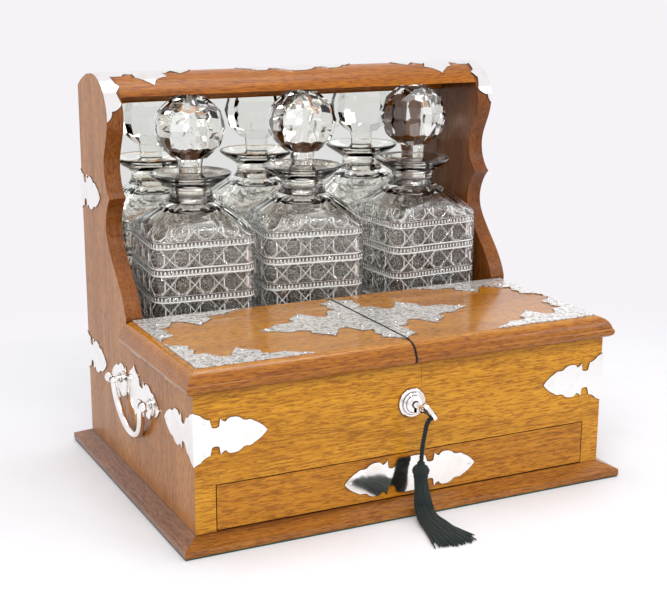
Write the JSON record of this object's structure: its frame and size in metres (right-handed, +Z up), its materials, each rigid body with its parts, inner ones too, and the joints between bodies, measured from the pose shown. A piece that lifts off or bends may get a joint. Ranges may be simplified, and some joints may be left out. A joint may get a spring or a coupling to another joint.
{
  "type": "antique tantalus",
  "caption": "Oak case with plated straps that locks cut-glass decanters under outward-opening lids, with a drawer, side bail handles, and a key with a tassel.",
  "frame": {"origin": "centre of the case's footprint, on the flat underside of the baize that it stands on", "axes": "+X to the case's right seen from its front, the front with the lock faces -Y, +Z up"},
  "size_m": [0.4, 0.3645, 0.3424],
  "materials": {
    "oak_case": "polished golden oak",
    "oak_side": "polished oak, vertical grain",
    "oak_lid": "polished golden oak",
    "oak_plinth": "polished red-brown oak",
    "inner_wood": "oiled",
    "plate": "polished silver plate",
    "steel": "brushed",
    "brass": "satin",
    "glass": "clear cut glass",
    "mirror": "silvered",
    "baize": "dark green baize",
    "silk": "dark green silk"
  },
  "bodies": {
    "case": {"back_board": "inner_wood", "back_edge_mounts": "plate", "baize_pad": "baize", "base_board": "inner_wood", "compartment_divider": "inner_wood", "corner_mounts": "plate", "decanter_left": "glass", "decanter_middle": "glass", "decanter_right": "glass", "dust_board": "inner_wood", "ejector_spring": "steel", "front_board": "oak_case", "inner_strips": "inner_wood", "key_cord": "silk", "left_case_hinges": "brass", "left_handle_plate": "plate", "left_handle_posts": "plate", "left_side": "oak_side", "lock_case": "steel", "lock_escutcheon": "plate", "mirror_plate": "mirror", "mirror_rail": "inner_wood", "partition": "inner_wood", "plinth_back": "oak_plinth", "plinth_front": "oak_plinth", "plinth_left": "oak_plinth", "plinth_right": "oak_plinth", "right_case_hinges": "brass", "right_handle_plate": "plate", "right_handle_posts": "plate", "right_side": "oak_side", "roof_board": "oak_case", "roof_mounts": "plate", "tassel_head": "silk", "tassel_skirt": "silk", "well_fillets": "inner_wood", "well_floor": "inner_wood"},
    "left_lid": {"left_lid": "oak_lid", "left_lid_mounts": "plate", "left_lid_hinges": "brass", "left_lid_link": "steel"},
    "right_lid": {"right_lid": "oak_lid", "right_lid_mounts": "plate", "right_lid_hinges": "brass", "right_lid_link": "steel"},
    "drawer": {"drawer_front": "oak_case", "drawer_left_wall": "inner_wood", "drawer_right_wall": "inner_wood", "drawer_bottom": "inner_wood", "drawer_back": "inner_wood", "drawer_plate": "plate", "drawer_catch_block": "inner_wood"},
    "drawer_pin": {"drawer_lock_pin": "brass"},
    "key": {"key": "plate"},
    "bolt": {"lock_bolt": "steel"},
    "left_bail": {"left_bail": "plate"},
    "right_bail": {"right_bail": "plate"},
    "stopper_left": {"stopper_left": "glass"},
    "stopper_middle": {"stopper_middle": "glass"},
    "stopper_right": {"stopper_right": "glass"}
  },
  "joints": [
    {"name": "left_lid_hinge", "type": "hinge", "parent": "case", "child": "left_lid", "pos_m": [-0.1882, -0.056, 0.12545], "axis": [0, -1, 0], "range_deg": [0, 90]},
    {"name": "right_lid_hinge", "type": "hinge", "parent": "case", "child": "right_lid", "pos_m": [0.1882, -0.056, 0.12545], "axis": [0, 1, 0], "range_deg": [0, 90]},
    {"name": "drawer_slide", "type": "slide", "parent": "case", "child": "drawer", "axis": [0, -1, 0], "range_m": [0, 0.17], "deforming": ["key_cord", "tassel_head", "tassel_skirt"]},
    {"name": "drawer_pin_slide", "type": "slide", "parent": "case", "child": "drawer_pin", "axis": [0, 0, -1], "range_m": [0, 0.006]},
    {"name": "key_turn", "type": "hinge", "parent": "case", "child": "key", "pos_m": [0, -0.1346, 0.0925], "axis": [0, 1, 0], "range_deg": [-80, 35]},
    {"name": "bolt_slide", "type": "slide", "parent": "case", "child": "bolt", "axis": [-1, 0, 0], "range_m": [-0.0026, 0.006]},
    {"name": "left_bail_swing", "type": "hinge", "parent": "case", "child": "left_bail", "pos_m": [-0.194, 0.0015, 0.089], "axis": [0, 1, 0], "range_deg": [0, 85]},
    {"name": "right_bail_swing", "type": "hinge", "parent": "case", "child": "right_bail", "pos_m": [0.194, 0.0015, 0.089], "axis": [0, -1, 0], "range_deg": [0, 85]},
    {"name": "stopper_left_turn", "type": "hinge", "parent": "case", "child": "stopper_left", "pos_m": [-0.1071, 0.0725, 0.2946], "axis": [0, 0, 1], "continuous": true},
    {"name": "stopper_middle_turn", "type": "hinge", "parent": "case", "child": "stopper_middle", "pos_m": [-0.0005, 0.0725, 0.2946], "axis": [0, 0, 1], "continuous": true},
    {"name": "stopper_right_turn", "type": "hinge", "parent": "case", "child": "stopper_right", "pos_m": [0.1132, 0.0725, 0.2946], "axis": [0, 0, 1], "continuous": true}
  ],
  "couplings": [
    {"joint": "key_turn", "follows": "bolt_slide", "rad_per_m": -232.56}
  ]
}
